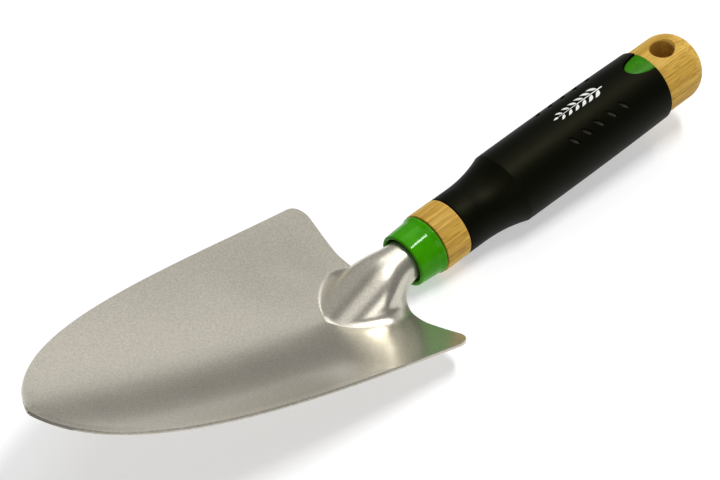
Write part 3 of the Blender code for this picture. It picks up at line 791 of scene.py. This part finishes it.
def make_inlay():
    """Domed tongue: rings of its half-elliptic plan, given by their share of the plan and their
    drop from the crown line; the flat bottom ring has no drop."""
    bm = bmesh.new()
    inset = INLAY_ROUNDING / INLAY_HALF_WIDTH
    crown_drop = INLAY_SINK - INLAY_ROUNDING
    rings = [(1.0, None), (1.0, -INLAY_SINK)]
    for turn in spaced(0.0, RIGHT, 5)[1:] + [RIGHT]:
        share = 1.0 - inset * (1.0 - math.cos(turn))
        rings.append((share, INLAY_ROUNDING * math.sin(turn) - INLAY_SINK))
    rings += [(share, -crown_drop * share) for share in INLAY_CROWN]
    loops = []
    for share, drop in rings:
        loop = []
        for turn in spaced(0.0, math.pi, INLAY_STEPS) + [math.pi]:
            forward = INLAY_LENGTH * math.sin(turn) * share
            y = INLAY_HALF_WIDTH * math.cos(turn) * share
            crown = math.sqrt(max(INLAY_RADIUS**2 - y**2, 0.0))
            height = INLAY_FLOOR if drop is None else crown + drop
            loop.append(bm.verts.new((forward - GRIP_REAR, y, height)))
        loops.append(loop)
    for low, high in zip(loops, loops[1:]):
        for i in range(INLAY_STEPS):
            bm.faces.new((low[i], low[i + 1], high[i + 1], high[i]))
    bm.faces.new(list(reversed(loops[0])))
    bm.faces.new(loops[-1])
    ends = [loop[0] for loop in loops] + [loop[-1] for loop in reversed(loops)]
    bm.faces.new(ends)
    bmesh.ops.recalc_face_normals(bm, faces=bm.faces)
    inlay = place_mesh("inlay_fine", bm, HANDLE, sharp=40.0)
    inlay.data.materials.append(green_plastic())
    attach(inlay, "root")
    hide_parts("grip_inlay")


# ---------------------------------------------------------------- printed sprig


def printed_strip(bm, line, widths):
    """Thin closed strip of ink on the grip, along a line of (station, offset) places."""
    rings = []
    for i, (station, offset) in enumerate(line):
        before, after = line[max(i - 1, 0)], line[min(i + 1, len(line) - 1)]
        ahead = (Vector(after) - Vector(before)).normalized()
        ring = []
        for side, lift in INK_SECTION:
            place = station - side * widths[i] * ahead.y
            around = offset + side * widths[i] * ahead.x
            radius = body_radius(place) + lift
            angle = SPRIG_ANGLE + around / GRIP_RADIUS
            ring.append(bm.verts.new((-place, radius * math.sin(angle), radius * math.cos(angle))))
        rings.append(ring)
    for near, far in zip(rings, rings[1:]):
        for j in range(len(near)):
            bm.faces.new((near[j - 1], near[j], far[j], far[j - 1]))
    bm.faces.new(rings[0])
    bm.faces.new(list(reversed(rings[-1])))


def printed_leaf(bm, station, offset, turn, length):
    """Pointed leaf that starts at a place on the stem, turned from the stem's direction."""
    line = []
    widths = []
    for i in range(LEAF_STEPS + 1):
        along = i / LEAF_STEPS
        bend = turn * (1.0 - LEAF_CURL * along)
        ahead = length * along * math.cos(bend)
        line.append((station - ahead, offset + length * along * math.sin(bend)))
        fullness = math.sin(math.pi * along ** LEAF_SHAPE[0]) ** LEAF_SHAPE[1]
        widths.append(INK_TIP + LEAF_FATNESS * length * fullness)
    printed_strip(bm, line, widths)


def make_sprig():
    """Stem with leaves in pairs, printed along the top of the grip."""
    bm = bmesh.new()
    steps = range(STEM_STEPS + 1)
    stem = [(SPRIG_START + SPRIG_LENGTH * (1.0 - i / STEM_STEPS), 0.0) for i in steps]
    printed_strip(bm, stem, [STEM_WIDTH * (1.0 - STEM_TAPER * i / STEM_STEPS) for i in steps])
    for i in range(LEAF_PAIRS):
        share = i / (LEAF_PAIRS - 1)
        station = SPRIG_START + SPRIG_LENGTH * (LEAF_SPREAD[0] - LEAF_SPREAD[1] * share)
        length = LEAF_LENGTH * (1.0 - LEAF_SHRINK * share)
        for side in (-1.0, 1.0):
            printed_leaf(bm, station, side * STEM_WIDTH * LEAF_OFFSET, side * LEAF_TURN, length)
    printed_leaf(bm, SPRIG_START - STEM_WIDTH, 0.0, 0.0, LEAF_LENGTH * END_LEAF)
    bmesh.ops.recalc_face_normals(bm, faces=bm.faces)
    sprig = place_mesh("grip_print", bm, HANDLE)
    sprig.data.materials.append(white_ink())
    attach(sprig, "root")


# ---------------------------------------------------------------- materials


def new_material(name):
    made = bpy.data.materials.new(name)
    made.use_nodes = True
    shader = made.node_tree.nodes["Principled BSDF"]
    return made, made.node_tree, shader


def node(tree, kind, **settings):
    made = tree.nodes.new(kind)
    for key, value in settings.items():
        setattr(made, key, value)
    return made


def place_coordinates(tree, where, scale=(1.0, 1.0, 1.0), turn=(0.0, 0.0, 0.0)):
    """Row-frame coordinates turned into a piece's own frame, then scaled and turned."""
    coordinates = node(tree, "ShaderNodeTexCoord")
    into = node(tree, "ShaderNodeMapping", vector_type="TEXTURE")
    into.inputs["Location"].default_value = where.to_translation()
    into.inputs["Rotation"].default_value = where.to_euler()
    tree.links.new(coordinates.outputs["Object"], into.inputs["Vector"])
    stretch = node(tree, "ShaderNodeMapping")
    stretch.inputs["Scale"].default_value = scale
    stretch.inputs["Rotation"].default_value = turn
    tree.links.new(into.outputs["Vector"], stretch.inputs["Vector"])
    return stretch.outputs["Vector"]


def noise_of(tree, vector, scale, detail=2.0, roughness=0.5):
    made = node(tree, "ShaderNodeTexNoise")
    made.inputs["Scale"].default_value = scale
    made.inputs["Detail"].default_value = detail
    made.inputs["Roughness"].default_value = roughness
    tree.links.new(vector, made.inputs["Vector"])
    return made.outputs["Fac"]


def ramp(tree, factor, stops):
    made = node(tree, "ShaderNodeValToRGB")
    elements = made.color_ramp.elements
    while len(elements) < len(stops):
        elements.new(0.5)
    for element, (position, colour) in zip(elements, stops):
        element.position = position
        element.color = (*colour, 1.0)
    tree.links.new(factor, made.inputs["Fac"])
    return made.outputs["Color"]


def remap(tree, value, low, high):
    """Value from 0..1 to low..high."""
    made = node(tree, "ShaderNodeMapRange")
    made.inputs["To Min"].default_value = low
    made.inputs["To Max"].default_value = high
    tree.links.new(value, made.inputs["Value"])
    return made.outputs["Result"]


def multiplied(tree, first, second):
    mix = node(tree, "ShaderNodeMix", data_type="RGBA", blend_type="MULTIPLY")
    mix.inputs["Factor"].default_value = 1.0
    tree.links.new(first, mix.inputs["A"])
    tree.links.new(second, mix.inputs["B"])
    return mix.outputs["Result"]


def bump(tree, shader, height, strength, distance):
    made = node(tree, "ShaderNodeBump")
    made.inputs["Strength"].default_value = strength
    made.inputs["Distance"].default_value = distance
    tree.links.new(height, made.inputs["Height"])
    tree.links.new(made.outputs["Normal"], shader.inputs["Normal"])


def steel_lacquer():
    made, tree, shader = new_material("lacquered_steel")
    vector = place_coordinates(tree, BLADE, turn=GRAIN_TURN)
    grain = noise_of(tree, vector, 1300.0, 1.0)
    blotch = noise_of(tree, vector, 45.0, 3.0)
    colour = ramp(tree, grain, [(0.3, (0.58, 0.55, 0.475)), (0.7, (0.70, 0.665, 0.58))])
    tree.links.new(colour, shader.inputs["Base Color"])
    shader.inputs["Metallic"].default_value = 0.85
    tree.links.new(remap(tree, blotch, 0.27, 0.33), shader.inputs["Roughness"])
    shader.inputs["Coat Weight"].default_value = 0.25
    shader.inputs["Coat Roughness"].default_value = 0.12
    return made


# Painted shade: near-black steel on the sheet's edge faces, standing in for the dark surroundings
# they reflect; the grain noise only mottles it.
def painted_dark_edge():
    made, tree, shader = new_material("painted_dark_edge")
    vector = place_coordinates(tree, BLADE)
    grain = noise_of(tree, vector, 1800.0, 3.0)
    colour = ramp(tree, grain, [(0.3, (0.015, 0.015, 0.011)), (0.7, (0.050, 0.048, 0.038))])
    tree.links.new(colour, shader.inputs["Base Color"])
    shader.inputs["Metallic"].default_value = 0.5
    tree.links.new(remap(tree, grain, 0.35, 0.50), shader.inputs["Roughness"])
    bump(tree, shader, grain, 0.25, 0.00004)
    return made


# Painted shade: the rounded arrises along the rim get a darker steel than the lacquer, standing in
# for the dark line the rim shows.
def arris_painted_shade():
    made, tree, shader = new_material("arris_painted_shade")
    vector = place_coordinates(tree, BLADE)
    grain = noise_of(tree, vector, 900.0, 3.0)
    colour = ramp(tree, grain, [(0.3, (0.10, 0.095, 0.08)), (0.7, (0.24, 0.23, 0.20))])
    tree.links.new(colour, shader.inputs["Base Color"])
    shader.inputs["Metallic"].default_value = 0.8
    tree.links.new(remap(tree, grain, 0.30, 0.50), shader.inputs["Roughness"])
    bump(tree, shader, grain, 0.2, 0.00003)
    return made


def green_enamel():
    made, tree, shader = new_material("green_enamel")
    vector = place_coordinates(tree, HANDLE)
    blotch = noise_of(tree, vector, 160.0, 3.0)
    colour = ramp(tree, blotch, [(0.3, (0.052, 0.31, 0.0003)), (0.7, (0.072, 0.38, 0.0004))])
    tree.links.new(colour, shader.inputs["Base Color"])
    tree.links.new(remap(tree, blotch, 0.07, 0.12), shader.inputs["Roughness"])
    shader.inputs["Specular IOR Level"].default_value = 0.16
    bump(tree, shader, noise_of(tree, vector, 700.0, 1.0), 0.12, 0.00005)
    return made


def ash_wood():
    """Straight-grained ash: soft year bands, finer streaks, and open pores as dark dashes."""
    made, tree, shader = new_material("ash_wood")
    vector = place_coordinates(tree, HANDLE, (0.02, 1.0, 1.0))
    streak = noise_of(tree, vector, 1300.0, 3.0, 0.6)
    bands = noise_of(tree, vector, 330.0, 2.0)
    pores = noise_of(tree, place_coordinates(tree, HANDLE, (0.05, 1.0, 1.0)), 2600.0, 1.0)
    fine = ramp(tree, streak, [(0.30, (0.56, 0.35, 0.064)), (0.62, (0.73, 0.505, 0.118))])
    wide = ramp(tree, bands, [(0.35, (0.80, 0.73, 0.62)), (0.62, (1.0, 1.0, 1.0))])
    open_pores = ramp(tree, pores, [(0.28, (0.62, 0.53, 0.42)), (0.42, (1.0, 1.0, 1.0))])
    colour = multiplied(tree, multiplied(tree, fine, wide), open_pores)
    tree.links.new(colour, shader.inputs["Base Color"])
    tree.links.new(remap(tree, streak, 0.66, 0.50), shader.inputs["Roughness"])
    shader.inputs["Specular IOR Level"].default_value = 0.3
    bump(tree, shader, pores, 0.35, 0.00008)
    return made


def black_rubber():
    made, tree, shader = new_material("black_rubber")
    vector = place_coordinates(tree, HANDLE)
    texture = noise_of(tree, vector, 1500.0, 2.0)
    blotch = noise_of(tree, vector, 90.0, 3.0)
    colour = ramp(tree, blotch, [(0.3, (0.0014, 0.0014, 0.0005)), (0.7, (0.0028, 0.0028, 0.0010))])
    tree.links.new(colour, shader.inputs["Base Color"])
    tree.links.new(remap(tree, blotch, 0.42, 0.54), shader.inputs["Roughness"])
    shader.inputs["Specular IOR Level"].default_value = 0.11
    # The yellow tint of the reflection is a painted warm cast on the grip's sheen.
    shader.inputs["Specular Tint"].default_value = (1.0, 1.0, 0.6, 1.0)
    bump(tree, shader, texture, 0.2, 0.00005)
    return made


def notch_rubber_painted_highlight():
    """Rubber in the notches, where the mould left it smoother; it is paler than the grip, a
    painted highlight on the notch walls.
    """
    made, tree, shader = new_material("notch_rubber_painted_highlight")
    vector = place_coordinates(tree, HANDLE, turn=GRAIN_TURN)
    sheen_mottle = noise_of(tree, vector, 1200.0, 3.0)
    colour = ramp(tree, sheen_mottle, [(0.35, (0.020, 0.018, 0.012)), (0.65, (0.070, 0.063, 0.045))])
    tree.links.new(colour, shader.inputs["Base Color"])
    tree.links.new(remap(tree, sheen_mottle, 0.30, 0.45), shader.inputs["Roughness"])
    bump(tree, shader, sheen_mottle, 0.2, 0.00004)
    return made


def green_plastic():
    made, tree, shader = new_material("green_plastic")
    vector = place_coordinates(tree, HANDLE)
    blotch = noise_of(tree, vector, 400.0, 2.0)
    colour = ramp(tree, blotch, [(0.3, (0.036, 0.195, 0.0006)), (0.7, (0.052, 0.25, 0.0012))])
    tree.links.new(colour, shader.inputs["Base Color"])
    tree.links.new(remap(tree, blotch, 0.30, 0.40), shader.inputs["Roughness"])
    shader.inputs["Specular IOR Level"].default_value = 0.15
    bump(tree, shader, noise_of(tree, vector, 1800.0, 1.0), 0.1, 0.00004)
    return made


def white_ink():
    made, tree, shader = new_material("white_ink")
    vector = place_coordinates(tree, HANDLE)
    mottle = noise_of(tree, vector, 2500.0, 3.0)
    colour = ramp(tree, mottle, [(0.3, (0.62, 0.62, 0.60)), (0.6, (0.82, 0.82, 0.80))])
    tree.links.new(colour, shader.inputs["Base Color"])
    tree.links.new(remap(tree, mottle, 0.45, 0.60), shader.inputs["Roughness"])
    bump(tree, shader, mottle, 0.15, 0.00003)
    return made


def bare_metal(name, dark, light, metallic):
    made, tree, shader = new_material(name)
    vector = place_coordinates(tree, HANDLE, (1.0, 0.15, 0.15))
    streak = noise_of(tree, vector, 2200.0, 3.0)
    colour = ramp(tree, streak, [(0.3, dark), (0.7, light)])
    tree.links.new(colour, shader.inputs["Base Color"])
    shader.inputs["Metallic"].default_value = metallic
    tree.links.new(remap(tree, streak, 0.35, 0.5), shader.inputs["Roughness"])
    bump(tree, shader, streak, 0.2, 0.00004)
    return made


# ---------------------------------------------------------------- stage


def make_floor():
    bm = bmesh.new()
    bmesh.ops.create_grid(bm, x_segments=1, y_segments=1, size=FLOOR_HALF)
    floor = place_mesh("floor", bm, Matrix.Translation((0.0, 0.0, -FLOOR_DROP)))
    made, _, shader = new_material("pale_floor")
    shader.inputs["Base Color"].default_value = (0.52, 0.52, 0.53, 1.0)
    shader.inputs["Roughness"].default_value = 0.9
    shader.inputs["Emission Color"].default_value = (1.0, 1.0, 1.0, 1.0)
    shader.inputs["Emission Strength"].default_value = 0.50
    floor.data.materials.append(made)


def make_softbox(name, azimuth, polar, distance, size, radiance, roll):
    """Rectangular light seen from the trowel at an azimuth and an angle from straight up."""
    data = bpy.data.lights.new(name, "AREA")
    data.shape = "RECTANGLE"
    data.size = size[0]
    data.size_y = size[1]
    data.energy = radiance * math.pi * size[0] * size[1]
    made = bpy.data.objects.new(name, data)
    turn = Euler((0.0, math.radians(polar), math.radians(azimuth))).to_matrix()
    made.matrix_world = Matrix.LocRotScale(
        turn @ Vector((0.0, 0.0, distance)),
        turn @ Matrix.Rotation(math.radians(roll), 3, "Z"),
        None,
    )
    bpy.context.scene.collection.objects.link(made)


def make_camera():
    data = bpy.data.cameras.new("camera")
    data.lens = CAMERA_LENS
    data.sensor_width = CAMERA_SENSOR
    data.clip_start = 0.01
    made = bpy.data.objects.new("camera", data)
    made.location = CAMERA_PLACE
    made.rotation_euler = Euler([math.radians(turn) for turn in CAMERA_TURN])
    bpy.context.scene.collection.objects.link(made)
    bpy.context.scene.camera = made


def make_world():
    world = bpy.data.worlds.new("studio")
    bpy.context.scene.world = world
    world.use_nodes = True
    back = world.node_tree.nodes["Background"]
    back.inputs["Color"].default_value = (1.0, 1.0, 1.0, 1.0)
    back.inputs["Strength"].default_value = WORLD_STRENGTH
    bpy.context.scene.view_settings.view_transform = "Standard"
    bpy.context.scene.view_settings.gamma = VIEW_GAMMA


make_camera()
make_world()
make_floor()
for light in LIGHTS:
    make_softbox(*light)
make_blade()
make_ferrule()
make_core()
make_sleeve()
make_inlay()
make_sprig()
tang = frame["nodes"]["tang"]
tang.data.materials.clear()
tang.data.materials.append(bare_metal("bare_steel", (0.30, 0.30, 0.30), (0.5, 0.5, 0.5), 1.0))
pin = frame["nodes"]["ferrule_pin"]
pin.data.materials.clear()
pin.data.materials.append(bare_metal("pin_iron", (0.02, 0.02, 0.02), (0.06, 0.06, 0.06), 0.8))
